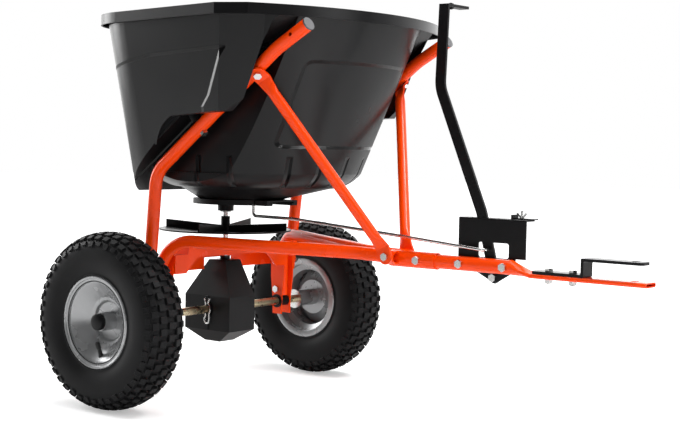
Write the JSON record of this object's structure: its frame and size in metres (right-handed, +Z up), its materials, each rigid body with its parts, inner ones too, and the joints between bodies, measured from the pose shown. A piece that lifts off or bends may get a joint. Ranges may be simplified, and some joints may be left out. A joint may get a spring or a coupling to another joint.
{
  "type": "tow-behind lawn spreader",
  "caption": "Tow-behind broadcast spreader: open hopper on a bent tube frame, two pneumatic wheels, axle-driven bevel gearbox and finned plate, gate lever and drawbar.",
  "frame": {"origin": "on the ground, straight below the point where the axle's line meets the spinner shaft's line, in the middle plane of the frame", "axes": "+X forward to the hitch, +Y to the machine's left, +Z up"},
  "size_m": [1.09, 0.676, 0.7525],
  "materials": {
    "tyre_rubber": "matt moulded rubber",
    "black_rubber": "matt rubber",
    "rim_grey": "satin grey paint on pressed steel",
    "zinc": "bright zinc plate",
    "yellow_zinc": "yellow zinc plate",
    "gear_steel": "sintered steel, greased",
    "steel_sheet": "stainless sheet",
    "orange_paint": "glossy powder coat on steel tube",
    "black_paint": "satin black powder coat",
    "gearbox_black": "matt glass-filled nylon",
    "black_plastic": "matt moulded plastic",
    "grey_plastic": "satin moulded plastic",
    "white_nylon": "natural nylon",
    "hopper_black": "finely textured polyethylene"
  },
  "bodies": {
    "chassis": {"axle_bush_left": "black_plastic", "axle_bush_right": "black_plastic", "brace_bolts": "zinc", "brace_left": "orange_paint", "brace_right": "orange_paint", "control_bracket": "black_paint", "cross_member": "orange_paint", "frame_bolts": "zinc", "frame_tube_left": "orange_paint", "frame_tube_right": "orange_paint", "gate_deck": "black_plastic", "gearbox_front": "gearbox_black", "gearbox_rear": "gearbox_black", "gearbox_screws": "zinc", "hanger_bolts": "zinc", "hanger_inner_left": "orange_paint", "hanger_inner_right": "orange_paint", "hanger_outer_left": "orange_paint", "hanger_outer_right": "orange_paint", "hitch_bolts": "zinc", "hitch_plate": "black_paint", "hitch_tube": "orange_paint", "hopper": "hopper_black", "hopper_bolts": "zinc", "lever_bolt": "zinc", "nuts": "zinc", "shaft_bearing": "white_nylon", "shaft_sleeve": "white_nylon", "support_tube_left": "orange_paint", "support_tube_right": "orange_paint", "tube_cap_left": "grey_plastic", "tube_cap_right": "grey_plastic"},
    "axle_set": {"axle": "yellow_zinc", "drive_pin": "zinc", "r_clip": "zinc", "ring_gear": "gear_steel", "ring_gear_pin": "zinc", "tyre_right": "tyre_rubber", "rim_right": "rim_grey", "wheel_hub_right": "rim_grey", "wheel_washer_right": "zinc", "hub_cap_right": "black_plastic", "valve_stem_right": "black_rubber", "wheel_washer_left": "zinc", "hub_cap_left": "black_plastic"},
    "left_wheel": {"tyre_left": "tyre_rubber", "rim_left": "rim_grey", "wheel_hub_left": "rim_grey", "valve_stem_left": "black_rubber"},
    "spinner": {"spinner_shaft": "zinc", "pinion_gear": "gear_steel", "shaft_pins": "zinc", "spinner_plate": "black_plastic", "agitator": "zinc"},
    "lever": {"lever": "black_paint"},
    "control_rod": {"control_rod": "zinc"},
    "gate": {"gate_slide": "steel_sheet"},
    "stop": {"stop_slider": "black_paint", "stop_screw": "zinc", "wing_nut": "zinc"}
  },
  "joints": [
    {"name": "axle_spin", "type": "hinge", "parent": "chassis", "child": "axle_set", "pos_m": [0, 0, 0.165], "axis": [0, 1, 0], "continuous": true},
    {"name": "left_wheel_spin", "type": "hinge", "parent": "chassis", "child": "left_wheel", "pos_m": [0, 0.283, 0.165], "axis": [0, 1, 0], "continuous": true},
    {"name": "spinner_spin", "type": "hinge", "parent": "chassis", "child": "spinner", "pos_m": [0, 0, 0.165], "axis": [0, 0, 1], "continuous": true},
    {"name": "lever_tilt", "type": "hinge", "parent": "chassis", "child": "lever", "pos_m": [0.624, 0.0185, 0.271], "axis": [0, 1, 0], "range_deg": [-4, 24]},
    {"name": "rod_swing", "type": "hinge", "parent": "lever", "child": "control_rod", "pos_m": [0.611, 0.0185, 0.319], "axis": [0, 1, 0], "range_deg": [-25, 5]},
    {"name": "gate_travel", "type": "slide", "parent": "chassis", "child": "gate", "axis": [1, 0, 0], "range_m": [-0.0045, 0.0225]},
    {"name": "stop_travel", "type": "slide", "parent": "chassis", "child": "stop", "axis": [1, 0, 0], "range_m": [0, 0.012]}
  ],
  "couplings": [
    {"joint": "spinner_spin", "follows": "axle_spin", "ratio": 4},
    {"joint": "rod_swing", "follows": "lever_tilt", "ratio": -1},
    {"joint": "gate_travel", "follows": "lever_tilt", "m_per_rad": 0.0495}
  ]
}
